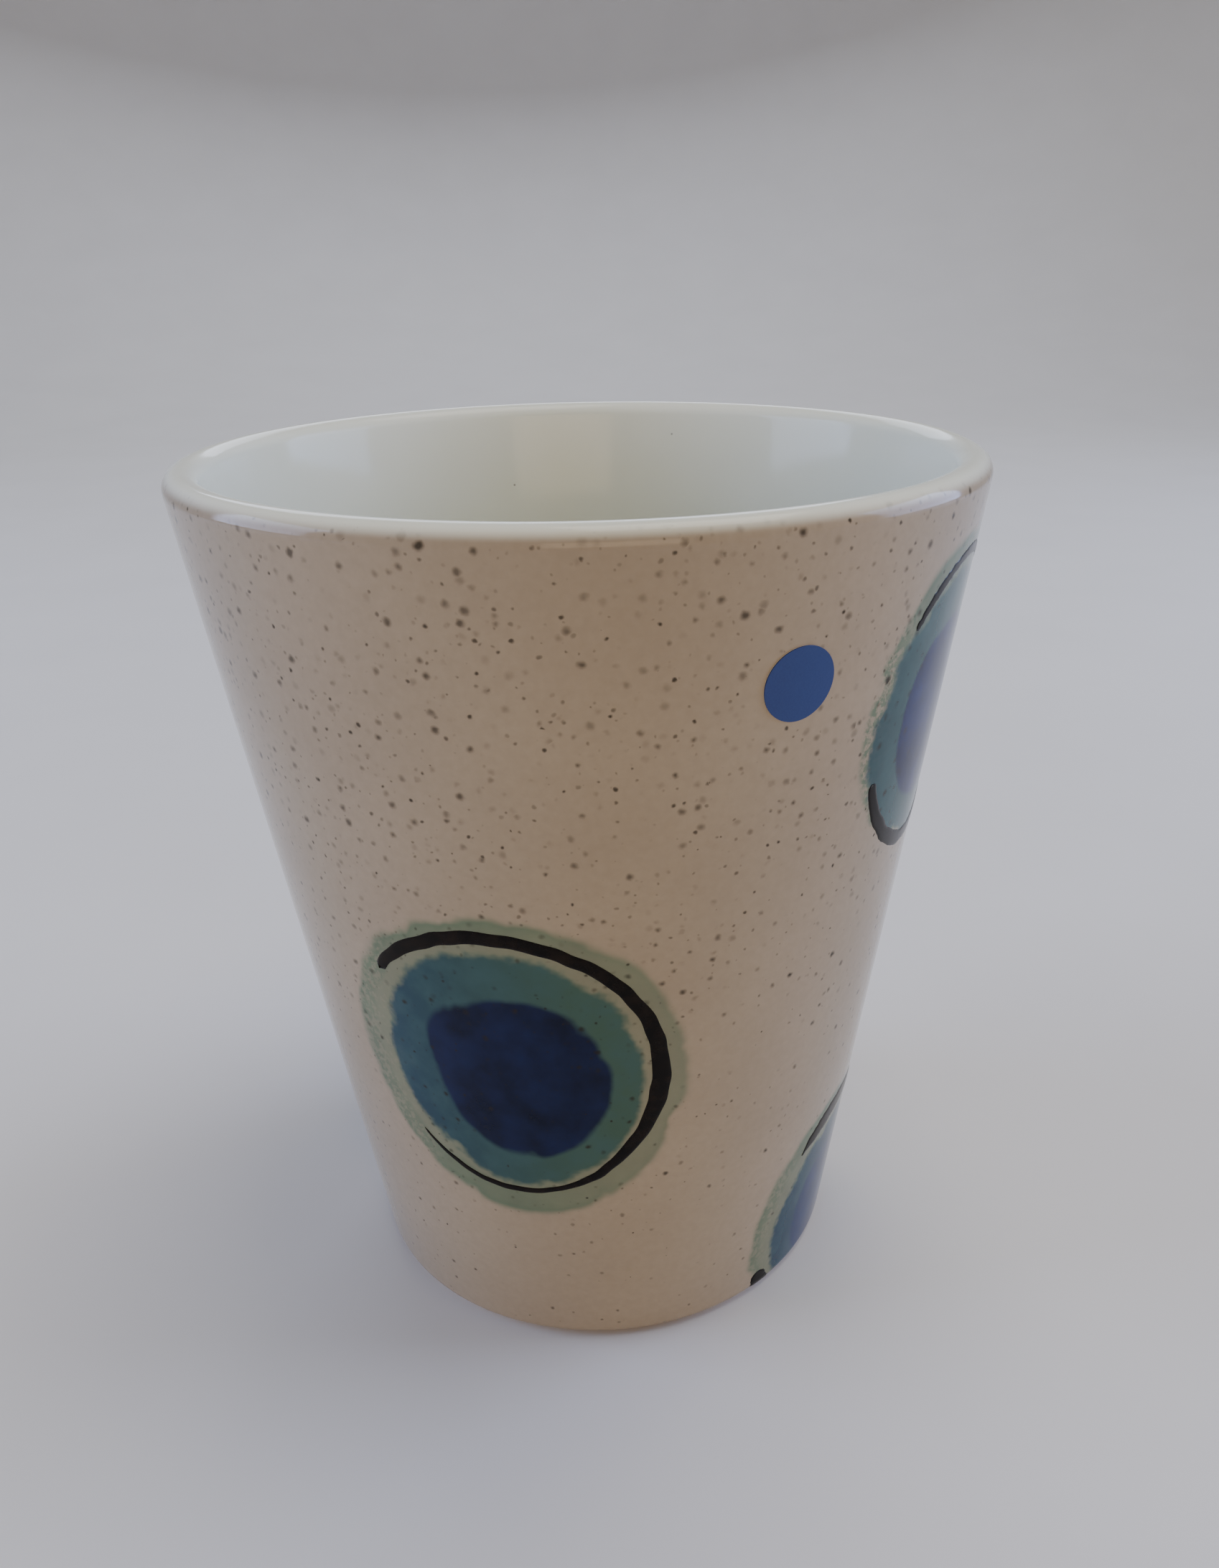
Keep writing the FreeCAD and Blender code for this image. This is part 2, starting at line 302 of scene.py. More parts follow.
def face_away(piece, wrong):
    """Turns the whole sheet over if its faces point the wrong way."""
    if wrong(piece.data.polygons):
        open_mesh(piece)
        bpy.ops.mesh.flip_normals()
        close_mesh()


def outward(face):
    """More than 0 if the face looks away from the wheel's axis."""
    return face.normal.x * face.center.x + face.normal.y * face.center.y


def thicken(piece, thickness):
    """Gives a sheet its thickness on the side away from its face."""
    take(piece)
    wall = piece.modifiers.new("wall", "SOLIDIFY")
    wall.thickness = thickness
    wall.offset = -1.0
    wall.use_even_offset = True
    bpy.ops.object.modifier_apply(modifier="wall")


def smooth(piece, degrees=40):
    take(piece)
    bpy.ops.object.shade_smooth_by_angle(angle=math.radians(degrees))


def lip_normals(piece):
    """Gives the outer half of the lip its round's own normals, so it runs into the wall unseen."""
    normals = [Vector((0, 0, 0))] * len(piece.data.loops)
    for face in piece.data.polygons:
        for loop in face.loop_indices:
            place = piece.data.vertices[piece.data.loops[loop].vertex_index].co
            across = math.hypot(place.x, place.y) - LIP_CENTRE[0]
            rise = place.z - LIP_CENTRE[1]
            if across < 0 or abs(math.hypot(across, rise) - LIP_ROUND) > ON_SURFACE:
                continue
            out = Vector((place.x, place.y, 0)).normalized()
            normal = (out * across + Vector((0, 0, rise))).normalized()
            if face.normal.dot(normal) > FACING:
                normals[loop] = normal
    piece.data.normals_split_custom_set(normals)


def true_normals(piece):
    """Gives the outer face of a wall piece the wall's own normals, so no joint shows in the gloss."""
    top = LIP_CENTRE[1] - LIP_ROUND * math.sin(WALL_LEAN)
    centre = foot_centre()
    normals = [Vector((0, 0, 0))] * len(piece.data.loops)
    for face in piece.data.polygons:
        if outward(face) <= 0 or face.center.z > top:
            continue
        for loop in face.loop_indices:
            place = piece.data.vertices[piece.data.loops[loop].vertex_index].co
            if abs(math.hypot(place.x, place.y) - wall_radius(place.z)) > ON_SURFACE:
                break
            out = Vector((place.x, place.y, 0)).normalized()
            sink = max((centre[1] - place.z) / FOOT_ROUND, math.sin(WALL_LEAN))
            lean = math.asin(min(sink, 1.0))
            normals[loop] = out * math.cos(lean) - Vector((0, 0, math.sin(lean)))
    piece.data.normals_split_custom_set(normals)


def outer_profile():
    """Outer wall from the glaze's edge at the foot, round the corner and up to the lip."""
    corner = arc_points(foot_centre(), FOOT_ROUND, -GLAZE_END, -WALL_LEAN, FOOT_STEPS)
    lip = arc_points(LIP_CENTRE, LIP_ROUND, -WALL_LEAN, -WALL_LEAN, 1)[0]
    return corner + line_points(corner[-1], lip, WALL_ROWS) + [lip]


def bore_profile():
    """Lip, bore and floor, from the outer wall's end over the lip and down to the middle."""
    lip = arc_points(LIP_CENTRE, LIP_ROUND, -WALL_LEAN, math.pi - BORE_LEAN, LIP_STEPS)
    drop = LIP_CENTRE[1] - FLOOR_LEVEL
    wall_at_floor = (
        LIP_CENTRE[0] - LIP_ROUND / math.cos(BORE_LEAN) - drop * math.tan(BORE_LEAN)
    )
    tangent = FLOOR_ROUND * math.tan(math.pi / 4 - BORE_LEAN / 2)
    centre = (wall_at_floor - tangent, FLOOR_LEVEL + FLOOR_ROUND)
    corner = arc_points(centre, FLOOR_ROUND, -BORE_LEAN, -math.pi / 2, CORNER_STEPS)
    bore = line_points(lip[-1], corner[0], WALL_ROWS)
    floor = line_points(corner[-1], (0.0, FLOOR_LEVEL), FLOOR_ROWS)
    return lip + bore + corner + floor + [(0.0, FLOOR_LEVEL)]


def split_off(skin, site, name, reach):
    """Separates the part of the skin round a motif as a piece of its own."""
    open_mesh(skin)
    bpy.ops.mesh.select_mode(type="FACE")
    bpy.ops.mesh.select_all(action="DESELECT")
    close_mesh()
    for face in skin.data.polygons:
        across, up = across_and_up(site, face.center)
        face.select = reach[0] < across < reach[1] and reach[2] < up < reach[3]
    bpy.ops.object.mode_set(mode="EDIT")
    bpy.ops.mesh.separate(type="SELECTED")
    close_mesh()
    return named(next(item for item in bpy.context.selected_objects if item is not skin), name)


def map_in_mm(piece, site):
    """UV map of the wall unrolled about a motif's middle, one unit to the millimetre."""
    layer = piece.data.uv_layers.new(name="brush")
    piece.data.uv_layers.active = layer
    for loop in piece.data.loops:
        place = piece.data.vertices[loop.vertex_index].co
        across, up = across_and_up(site, place)
        layer.data[loop.index].uv = (across / MM, up / MM)


def motif_reach(motif):
    """Left, right, lower and upper limits of a motif's patch, from its halo and its brush line."""
    left, right, low, high = [], [], [], []
    for across, up, half_width, half_height in (motif["halo"], motif["line"]):
        left.append(across - half_width)
        right.append(across + half_width)
        low.append(up - half_height)
        high.append(up + half_height)
    return (
        min(left) * MM - PATCH_MARGIN,
        max(right) * MM + PATCH_MARGIN,
        min(low) * MM - PATCH_MARGIN,
        max(high) * MM + PATCH_MARGIN,
    )


STROKE_FILM = 0.10 * MM
STROKE_STEPS = 150
STROKE_RIBS = 10
# how far the film's crown stands up and its edges sink in, as shares of its thickness
STROKE_CROWN = 0.75
STROKE_SINK = 0.05
# unsteadiness of the hand: number of waves, their beats along the line, one whole turn, their sizes,
# mm of shake for a wave of size 1, and how much later a wave comes across the line
HAND_WAVES = 9
HAND_BEATS = (4, 40)
HAND_TURN = 6.28
HAND_SIZES = (0.3, 1.0)
HAND_SHAKE = 0.035
HAND_SLANT = 1.7


def eased(values, place):
    """Value at a place from 0 to 1 along a list of evenly spaced ones, eased between them."""
    scaled = place * (len(values) - 1)
    index = min(int(scaled), len(values) - 2)
    part = scaled - index
    part = part * part * (3 - 2 * part)
    return values[index] + (values[index + 1] - values[index]) * part


def brush_stroke(name, site, oval, first, last, widths, hand):
    """One brushed line: a thin domed film along an oval, as wide as the brush left it.

    A flat grid is bent to the line: its length runs along the oval and its breadth across the line.
    """
    nothing_selected()
    bpy.ops.mesh.primitive_grid_add(
        x_subdivisions=STROKE_STEPS, y_subdivisions=STROKE_RIBS, size=2.0
    )
    piece = named(bpy.context.object, name)
    waves = [
        (hand.uniform(*HAND_BEATS), hand.uniform(0, HAND_TURN), hand.uniform(*HAND_SIZES))
        for _ in range(HAND_WAVES)
    ]
    middle_across, middle_up, half_width, half_height = oval
    length = abs(math.radians(last - first)) * (half_width + half_height) / 2
    for vertex in piece.data.vertices:
        along = (vertex.co.x + 1) / 2
        side = vertex.co.y
        angle = math.radians(first + (last - first) * along)
        spot = Vector((half_width * math.cos(angle), half_height * math.sin(angle)))
        inward = Vector((math.cos(angle) / half_width, math.sin(angle) / half_height)).normalized()
        ragged = sum(
            size * math.sin(beat * along * HAND_TURN + phase + side * HAND_SLANT)
            for beat, phase, size in waves
        )
        start_gap = max(1 - along * length / (widths[0] / 2), 0.0)
        end_gap = max(1 - (1 - along) * length / (widths[-1] / 2), 0.0)
        # the ends are rounded off over half the width that the line has there
        end_round = math.sqrt(max(1 - max(start_gap, end_gap) ** 2, 0.0))
        half = (eased(widths, along) / 2 + HAND_SHAKE * ragged) * end_round
        spot += inward * (side * half)
        lift = STROKE_FILM * (STROKE_CROWN * math.sqrt(max(1 - side**4, 0.0)) - STROKE_SINK)
        vertex.co = on_wall(
            site, (middle_across + spot.x) * MM, (middle_up + spot.y) * MM, lift
        )
    return piece


def cut_at_foot(piece):
    """Cuts a piece off where the glaze ends above the foot, and closes the cut."""
    open_mesh(piece)
    bpy.ops.mesh.bisect(
        plane_co=(0, 0, FOOT_EDGE), plane_no=(0, 0, -1), clear_outer=True, use_fill=True
    )
    close_mesh()


def tidy_normals(piece):
    """Merges doubled points and turns every face of a closed piece outwards."""
    open_mesh(piece)
    bpy.ops.mesh.remove_doubles(threshold=SAME_POINT)
    bpy.ops.mesh.normals_make_consistent(inside=False)
    close_mesh()


# ---------------------------------------------------------------- materials


PALETTE = {
    "speck_brown": "#2A2016",
    "speck_black": "#1A1911",
    "liner_pooled": "#D6D8C5",
    "liner_thin": "#E2E3D5",
    "liner_speck": "#4A4536",
    "oatmeal_deep": "#938571",
    "oatmeal_pale": "#A49680",
    "oatmeal_grain": "#726551",
    "halo_deep": "#485C4A",
    "halo_thin": "#62755C",
    "ring_blue": "#19384A",
    "ring_green": "#395449",
    "ring_cloud": "#375659",
    "line_black": "#0B0805",
    "line_brown": "#1D150E",
    "clay_toasted": "#A88C6E",
    "clay_buff": "#C2A98A",
    "grog": "#6E563E",
    "paper_blue": "#1A2E64",
    "paper_fibre": "#24396E",
    "adhesive_clear": "#B7AD97",
    "adhesive_cloudy": "#CFC7B4",
    "board_shade": "#CFCCC6",
    "board": "#D6D3CD",
}

# repeats of each pattern in a millimetre
PER_MM = {
    "speck_wobble": 1.3,
    "speck_drift": 0.07,
    "speck_hue": 0.5,
    "oatmeal_cloud": 0.05,
    "oatmeal_grain": 1.1,
    "glaze_swell": 0.11,
    "glaze_ripple": 0.9,
    "gloss_cloud": 0.2,
    "liner_cloud": 0.035,
    "liner_speck": 0.16,
    "wash_tone": 0.25,
    "wash_bead": 0.95,
    "dry_brush": 1.2,
    "navy_cloud": 0.22,
    "line_body": 0.7,
    "clay_cloud": 0.12,
    "grog": 1.4,
    "clay_grit": 3.0,
    "paper_fibre": 4.0,
    "adhesive_cloud": 2.0,
    "board_roll": 0.02,
}

# the two waverings of a brushed edge: repeats in a millimetre, and reach in mm
EDGE_WAVERS = ((0.12, 1.3), (0.5, 0.3))

# glaze is glass; its gloss is held under a real glaze's, so that a pale table doesn't grey the darks
GLASS = 1.5
GLAZE_GLOSS = 0.17
LINE_GLOSS = 0.1
GLAZE_WAVE_DEPTH = 0.06 * MM


def linear(code):
    """sRGB hex code as linear red, green, blue and alpha."""
    parts = [int(code[index : index + 2], 16) / 255 for index in (1, 3, 5)]
    curved = [
        part / 12.92 if part <= 0.04045 else ((part + 0.055) / 1.055) ** 2.4 for part in parts
    ]
    return (*curved, 1.0)


def colour_of(name):
    return linear(PALETTE[name])


def add(tree, kind, sockets=None, **settings):
    """One node with its settings; each socket is given a value or linked from another's output."""
    made = tree.nodes.new("ShaderNode" + kind)
    for name, value in settings.items():
        setattr(made, name, value)
    for socket, value in (sockets or {}).items():
        if isinstance(value, bpy.types.NodeSocket):
            tree.links.new(value, made.inputs[socket])
        else:
            made.inputs[socket].default_value = value
    return made


def new_material(name):
    material = bpy.data.materials.new(name)
    material.use_nodes = True
    tree = material.node_tree
    tree.nodes.clear()
    return material, tree


def finish_material(tree, colour, roughness, height, depth, **shader):
    """Principled surface with a bump of the given depth in metres, and plain values on its sockets."""
    bump = add(tree, "Bump", {"Height": height, "Distance": depth, "Strength": 1.0})
    surface = add(
        tree,
        "BsdfPrincipled",
        {"Base Color": colour, "Roughness": roughness, "Normal": bump.outputs[0], **shader},
    )
    add(tree, "OutputMaterial", {"Surface": surface.outputs[0]})


def place_in_mm(tree):
    """Object coordinates, one unit to the millimetre."""
    where = add(tree, "TexCoord").outputs["Object"]
    return add(tree, "Mapping", {"Vector": where, "Scale": (1000, 1000, 1000)}).outputs[0]


# cells per mm, greatest radius and softness in mm, share and darkness of each layer of specks
SPECK_LAYERS = (
    (0.56, 0.74, 0.60, 0.55, 0.94),
    (0.90, 0.36, 0.24, 0.15, 0.90),
    (0.19, 0.70, 0.42, 0.02, 1.0),
)


def specks(tree, place, height):
    """Iron specks that bleed through the glaze: how dark each is, and its colour.

    Each layer is a random ball in every cell of one to five millimetres, cut by the surface into soft
    discs from 0.3 to 1 mm across. They crowd and swell towards the rim, and crowd on one side.
    """
    wobble = add(
        tree, "TexNoise", {"Vector": place, "Scale": PER_MM["speck_wobble"], "Detail": 1.0}
    ).outputs["Color"]
    centred = add(
        tree, "VectorMath", {0: wobble, 1: (0.5, 0.5, 0.5)}, operation="SUBTRACT"
    ).outputs[0]
    shift = add(tree, "VectorMath", {0: centred, "Scale": 0.4}, operation="SCALE").outputs[0]
    bent = add(tree, "VectorMath", {0: place, 1: shift}, operation="ADD").outputs[0]
    drift = add(
        tree, "TexNoise", {"Vector": place, "Scale": PER_MM["speck_drift"], "Detail": 1.0}
    ).outputs["Fac"]
    low = add(
        tree,
        "MapRange",
        {"Value": height, "From Min": 8.0, "From Max": 75.0, "To Min": -0.42, "To Max": 0.12},
    ).outputs[0]
    sideways = add(tree, "SeparateXYZ", {0: place}).outputs[0]
    sprayed = add(
        tree,
        "MapRange",
        {"Value": sideways, "From Min": -40.0, "From Max": 40.0, "To Min": 0.1, "To Max": -0.2},
    ).outputs[0]
    crowd = add(tree, "Math", {0: drift, 1: low}, operation="ADD").outputs[0]
    crowd = add(tree, "Math", {0: crowd, 1: sprayed}, operation="ADD").outputs[0]
    swollen = add(
        tree,
        "MapRange",
        {"Value": height, "From Min": 15.0, "From Max": 85.0, "To Min": 0.62, "To Max": 1.0},
    ).outputs[0]
    total = None
    for cells_per_mm, radius, soft, share, strength in SPECK_LAYERS:
        cell = add(tree, "TexVoronoi", {"Vector": bent, "Scale": cells_per_mm})
        luck = add(tree, "SeparateColor", {"Color": cell.outputs["Color"]})
        reach = add(
            tree, "Math", {0: cell.outputs["Distance"], 1: swollen}, operation="DIVIDE"
        ).outputs[0]
        size = add(
            tree, "MapRange", {"Value": luck.outputs[0], "To Min": 0.55, "To Max": 1.0}
        ).outputs[0]
        edge = add(
            tree, "Math", {0: size, 1: radius * cells_per_mm}, operation="MULTIPLY"
        ).outputs[0]
        inner = add(
            tree, "Math", {0: edge, 1: soft * cells_per_mm}, operation="SUBTRACT"
        ).outputs[0]
        spot = add(
            tree,
            "MapRange",
            {"Value": reach, "From Min": edge, "From Max": inner, "To Max": strength},
            interpolation_type="SMOOTHSTEP",
        ).outputs[0]
        limit = add(tree, "Math", {0: crowd, 1: share}, operation="ADD").outputs[0]
        present = add(
            tree, "Math", {0: luck.outputs[1], 1: limit}, operation="LESS_THAN"
        ).outputs[0]
        fade = add(
            tree, "MapRange", {"Value": luck.outputs[2], "To Min": 0.18, "To Max": 1.0}
        ).outputs[0]
        shown = add(tree, "Math", {0: spot, 1: present}, operation="MULTIPLY").outputs[0]
        shown = add(tree, "Math", {0: shown, 1: fade}, operation="MULTIPLY").outputs[0]
        if total is None:
            total = shown
        else:
            total = add(tree, "Math", {0: total, 1: shown}, operation="MAXIMUM").outputs[0]
    hue = add(tree, "TexNoise", {"Vector": place, "Scale": PER_MM["speck_hue"]}).outputs["Fac"]
    colour = add(
        tree,
        "Mix",
        {0: hue, 6: colour_of("speck_brown"), 7: colour_of("speck_black")},
        data_type="RGBA",
    ).outputs[2]
    return total, colour


def lip_fade(tree, place, height):
    """Share of the liner's pale glaze, which ran over the lip: 1 inside, down to 0 just outside."""
    drop = add(
        tree,
        "MapRange",
        {"Value": height, "From Min": 105.5, "From Max": 106.8},
        interpolation_type="SMOOTHSTEP",
    ).outputs[0]
    flat = add(tree, "VectorMath", {0: place, 1: (1, 1, 0)}, operation="MULTIPLY").outputs[0]
    radius = add(tree, "VectorMath", {0: flat}, operation="LENGTH").outputs["Value"]
    lean = math.tan((WALL_LEAN + BORE_LEAN) / 2)
    crest = (LIP_CENTRE[0] - LIP_CENTRE[1] * lean) / MM
    upright = add(
        tree, "Math", {0: height, 1: -lean, 2: radius}, operation="MULTIPLY_ADD"
    ).outputs[0]
    inside = add(
        tree, "MapRange", {"Value": upright, "From Min": crest, "From Max": crest - 0.4}
    ).outputs[0]
    return add(tree, "Math", {0: drop, 1: inside}, operation="MAXIMUM").outputs[0]


def liner_colour(tree, place):
    """Pale grey-green of the liner glaze, a little uneven where it pooled."""
    cloud = add(
        tree, "TexNoise", {"Vector": place, "Scale": PER_MM["liner_cloud"], "Detail": 3.0}
    ).outputs["Fac"]
    return add(
        tree,
        "Mix",
        {0: cloud, 6: colour_of("liner_pooled"), 7: colour_of("liner_thin")},
        data_type="RGBA",
    ).outputs[2]


def ground_colour(tree, place, height):
    """Oatmeal glaze of the outer wall, clouded, paler where the liner's glaze runs into it."""
    cloud = add(
        tree, "TexNoise", {"Vector": place, "Scale": PER_MM["oatmeal_cloud"], "Detail": 3.0}
    ).outputs["Fac"]
    base = add(
        tree,
        "Mix",
        {0: cloud, 6: colour_of("oatmeal_deep"), 7: colour_of("oatmeal_pale")},
        data_type="RGBA",
    ).outputs[2]
    fine = add(
        tree, "TexNoise", {"Vector": place, "Scale": PER_MM["oatmeal_grain"], "Detail": 3.0}
    ).outputs["Fac"]
    grain = add(
        tree,
        "MapRange",
        {"Value": fine, "From Min": 0.3, "From Max": 0.7, "To Min": 0.0, "To Max": 0.14},
    ).outputs[0]
    grained = add(
        tree, "Mix", {0: grain, 6: base, 7: colour_of("oatmeal_grain")}, data_type="RGBA"
    ).outputs[2]
    return add(
        tree,
        "Mix",
        {0: lip_fade(tree, place, height), 6: grained, 7: liner_colour(tree, place)},
        data_type="RGBA",
    ).outputs[2]


def glaze_waves(tree, place):
    """Slow unevenness of a fired glaze, which makes reflections sway, from 0 to 1."""
    slow = add(
        tree, "TexNoise", {"Vector": place, "Scale": PER_MM["glaze_swell"], "Detail": 1.5}
    ).outputs["Fac"]
    fine = add(
        tree, "TexNoise", {"Vector": place, "Scale": PER_MM["glaze_ripple"], "Detail": 2.0}
    ).outputs["Fac"]
    ripple = add(tree, "Math", {0: fine, 1: 0.05}, operation="MULTIPLY").outputs[0]
    return add(tree, "Math", {0: slow, 1: ripple}, operation="ADD").outputs[0]


def outer_glaze_finish(tree, place, height, painted):
    """Specks over the painted or bare ground, each sunk a little, then the gloss."""
    dark, speck = specks(tree, place, height)
    clear = add(
        tree, "Math", {0: 1.0, 1: lip_fade(tree, place, height)}, operation="SUBTRACT"
    ).outputs[0]
    shown = add(tree, "Math", {0: dark, 1: clear}, operation="MULTIPLY").outputs[0]
    colour = add(tree, "Mix", {0: shown, 6: painted, 7: speck}, data_type="RGBA").outputs[2]
    sink = add(tree, "Math", {0: shown, 1: -0.06}, operation="MULTIPLY").outputs[0]
    level = add(tree, "Math", {0: glaze_waves(tree, place), 1: sink}, operation="ADD").outputs[0]
    sheen = add(
        tree, "TexNoise", {"Vector": place, "Scale": PER_MM["gloss_cloud"], "Detail": 2.0}
    ).outputs["Fac"]
    roughness = add(
        tree, "MapRange", {"Value": sheen, "To Min": 0.07, "To Max": 0.15}
    ).outputs[0]
    finish_material(
        tree,
        colour,
        roughness,
        level,
        GLAZE_WAVE_DEPTH,
        **{"IOR": GLASS, "Specular IOR Level": GLAZE_GLOSS},
    )


def speckled_glaze():
    """Clear-topped oatmeal glaze, dipped and fired: iron specks and a wet gloss."""
    material, tree = new_material("speckled_oatmeal_glaze_dipped")
    place = place_in_mm(tree)
    height = add(tree, "SeparateXYZ", {0: place}).outputs[2]
    outer_glaze_finish(tree, place, height, ground_colour(tree, place, height))
    return material


def liner_glaze():
    """Pale celadon liner glaze, poured and fired: smooth and wet, with a rare tiny speck.

    Outside the lip it thins over the speckled glaze, so the two glazes meet without a line.
    """
    material, tree = new_material("pale_celadon_liner_glaze_poured")
    place = place_in_mm(tree)
    height = add(tree, "SeparateXYZ", {0: place}).outputs[2]
    cell = add(tree, "TexVoronoi", {"Vector": place, "Scale": PER_MM["liner_speck"]})
    luck = add(tree, "SeparateColor", {"Color": cell.outputs["Color"]}).outputs[0]
    spot = add(
        tree,
        "MapRange",
        {"Value": cell.outputs["Distance"], "From Min": 0.035, "From Max": 0.012, "To Max": 0.7},
    ).outputs[0]
    rare = add(tree, "Math", {0: luck, 1: 0.35}, operation="LESS_THAN").outputs[0]
    shown = add(tree, "Math", {0: spot, 1: rare}, operation="MULTIPLY").outputs[0]
    colour = add(
        tree,
        "Mix",
        {0: shown, 6: ground_colour(tree, place, height), 7: colour_of("liner_speck")},
        data_type="RGBA",
    ).outputs[2]
    outer_glaze_finish(tree, place, height, colour)
    return material


def oval_edge(tree, point, oval, corner=0.0):
    """Signed distance in mm from the edge of an oval, less inside; corner pushes out its upper left."""
    across, up, half_width, half_height = oval
    centred = add(
        tree, "VectorMath", {0: point, 1: (across, up, 0)}, operation="SUBTRACT"
    ).outputs[0]
    scaled = add(
        tree, "VectorMath", {0: centred, 1: (half_width, half_height, 1)}, operation="DIVIDE"
    ).outputs[0]
    reach = add(tree, "VectorMath", {0: scaled}, operation="LENGTH").outputs["Value"]
    if corner:
        facing = add(tree, "VectorMath", {0: scaled}, operation="NORMALIZE").outputs[0]
        near = add(
            tree, "VectorMath", {0: facing, 1: (-0.85, 0.53, 0)}, operation="DOT_PRODUCT"
        ).outputs["Value"]
        push = add(
            tree,
            "MapRange",
            {"Value": near, "From Min": 0.86, "From Max": 1.0, "To Max": corner},
            interpolation_type="SMOOTHSTEP",
        ).outputs[0]
        reach = add(tree, "Math", {0: reach, 1: push}, operation="SUBTRACT").outputs[0]
    from_edge = add(tree, "Math", {0: reach, 1: 1.0}, operation="SUBTRACT").outputs[0]
    return add(
        tree, "Math", {0: from_edge, 1: (half_width + half_height) / 2}, operation="MULTIPLY"
    ).outputs[0]


def brushed_colours(name, motif):
    """Oxide washes brushed on the glaze and fused in: green halo, blue-green ring, navy core."""
    material, tree = new_material(f"brushed_oxide_washes_{name}")
    place = place_in_mm(tree)
    height = add(tree, "SeparateXYZ", {0: place}).outputs[2]
    ground = ground_colour(tree, place, height)
    flat = add(tree, "UVMap", uv_map="brush").outputs[0]
    point = flat
    for scale, size in EDGE_WAVERS:
        noise = add(
            tree, "TexNoise", {"Vector": place, "Scale": scale, "Detail": 1.0}
        ).outputs["Color"]
        centred = add(
            tree, "VectorMath", {0: noise, 1: (0.5, 0.5, 0.5)}, operation="SUBTRACT"
        ).outputs[0]
        shift = add(tree, "VectorMath", {0: centred, "Scale": size}, operation="SCALE").outputs[0]
        point = add(tree, "VectorMath", {0: point, 1: shift}, operation="ADD").outputs[0]
    across = add(tree, "SeparateXYZ", {0: flat}).outputs[0]
    halo_edge = oval_edge(tree, point, motif["halo"])
    ring_edge = oval_edge(tree, point, motif["ring"])
    core_edge = oval_edge(tree, point, motif["core"], motif["corner"])
    line_edge = oval_edge(tree, point, motif["line"])
    tone = add(
        tree, "TexNoise", {"Vector": place, "Scale": PER_MM["wash_tone"], "Detail": 3.0}
    ).outputs["Fac"]
    beads = add(
        tree, "TexNoise", {"Vector": place, "Scale": PER_MM["wash_bead"], "Detail": 1.0}
    ).outputs["Fac"]
    bead_shift = add(
        tree,
        "MapRange",
        {"Value": beads, "From Min": 0.3, "From Max": 0.7, "To Min": -0.18, "To Max": 0.18},
    ).outputs[0]

    # halo: a thin green wash, pooled darker at its edge, dry and broken on its left
    dry_share, dry_edge = motif["dry"]
    wash = add(
        tree,
        "MapRange",
        {"Value": halo_edge, "From Min": 0.6, "From Max": -1.0, "To Max": 0.8},
        interpolation_type="SMOOTHSTEP",
    ).outputs[0]
    rim = add(
        tree,
        "MapRange",
        {"Value": halo_edge, "From Min": -1.8, "From Max": -0.6, "To Max": 0.1},
        interpolation_type="SMOOTHSTEP",
    ).outputs[0]
    pooled = add(tree, "Math", {0: wash, 1: rim}, operation="ADD").outputs[0]
    wash = add(tree, "Math", {0: wash, 1: pooled}, operation="MULTIPLY", use_clamp=True).outputs[0]
    thin = add(
        tree,
        "MapRange",
        {"Value": across, "From Min": 0.0, "From Max": 20.0, "To Min": 1.25, "To Max": 0.9},
    ).outputs[0]
    wash = add(tree, "Math", {0: wash, 1: thin}, operation="MULTIPLY", use_clamp=True).outputs[0]
    streaks = add(
        tree,
        "TexNoise",
        {"Vector": place, "Scale": PER_MM["dry_brush"], "Detail": 3.0, "Roughness": 0.6},
    ).outputs["Fac"]
    holes = add(
        tree,
        "MapRange",
        {"Value": streaks, "From Min": 0.42, "From Max": 0.62},
        interpolation_type="SMOOTHSTEP",
    ).outputs[0]
    left = add(
        tree,
        "MapRange",
        {"Value": across, "From Min": dry_edge + 6.0, "From Max": dry_edge, "To Max": dry_share},
        interpolation_type="SMOOTHSTEP",
    ).outputs[0]
    missing = add(tree, "Math", {0: holes, 1: left}, operation="MULTIPLY").outputs[0]

    # resist: a pale beaded strip between the ring and the black line
    gap = add(tree, "Math", {0: ring_edge, 1: bead_shift}, operation="ADD").outputs[0]
    off_ring = add(
        tree,
        "MapRange",
        {"Value": gap, "From Min": -0.2, "From Max": 0.7},
        interpolation_type="SMOOTHSTEP",
    ).outputs[0]
    in_line = add(
        tree,
        "MapRange",
        {"Value": line_edge, "From Min": 0.3, "From Max": -0.9, "To Max": motif["resist"]},
        interpolation_type="SMOOTHSTEP",
    ).outputs[0]
    strip = add(tree, "Math", {0: off_ring, 1: in_line}, operation="MULTIPLY").outputs[0]
    gone = add(tree, "Math", {0: missing, 1: strip}, operation="MAXIMUM").outputs[0]
    kept = add(tree, "Math", {0: 1.0, 1: gone}, operation="SUBTRACT").outputs[0]
    wash = add(tree, "Math", {0: wash, 1: kept}, operation="MULTIPLY").outputs[0]
    green = add(
        tree,
        "Mix",
        {0: tone, 6: colour_of("halo_deep"), 7: colour_of("halo_thin")},
        data_type="RGBA",
    ).outputs[2]
    painted = add(tree, "Mix", {0: wash, 6: ground, 7: green}, data_type="RGBA").outputs[2]

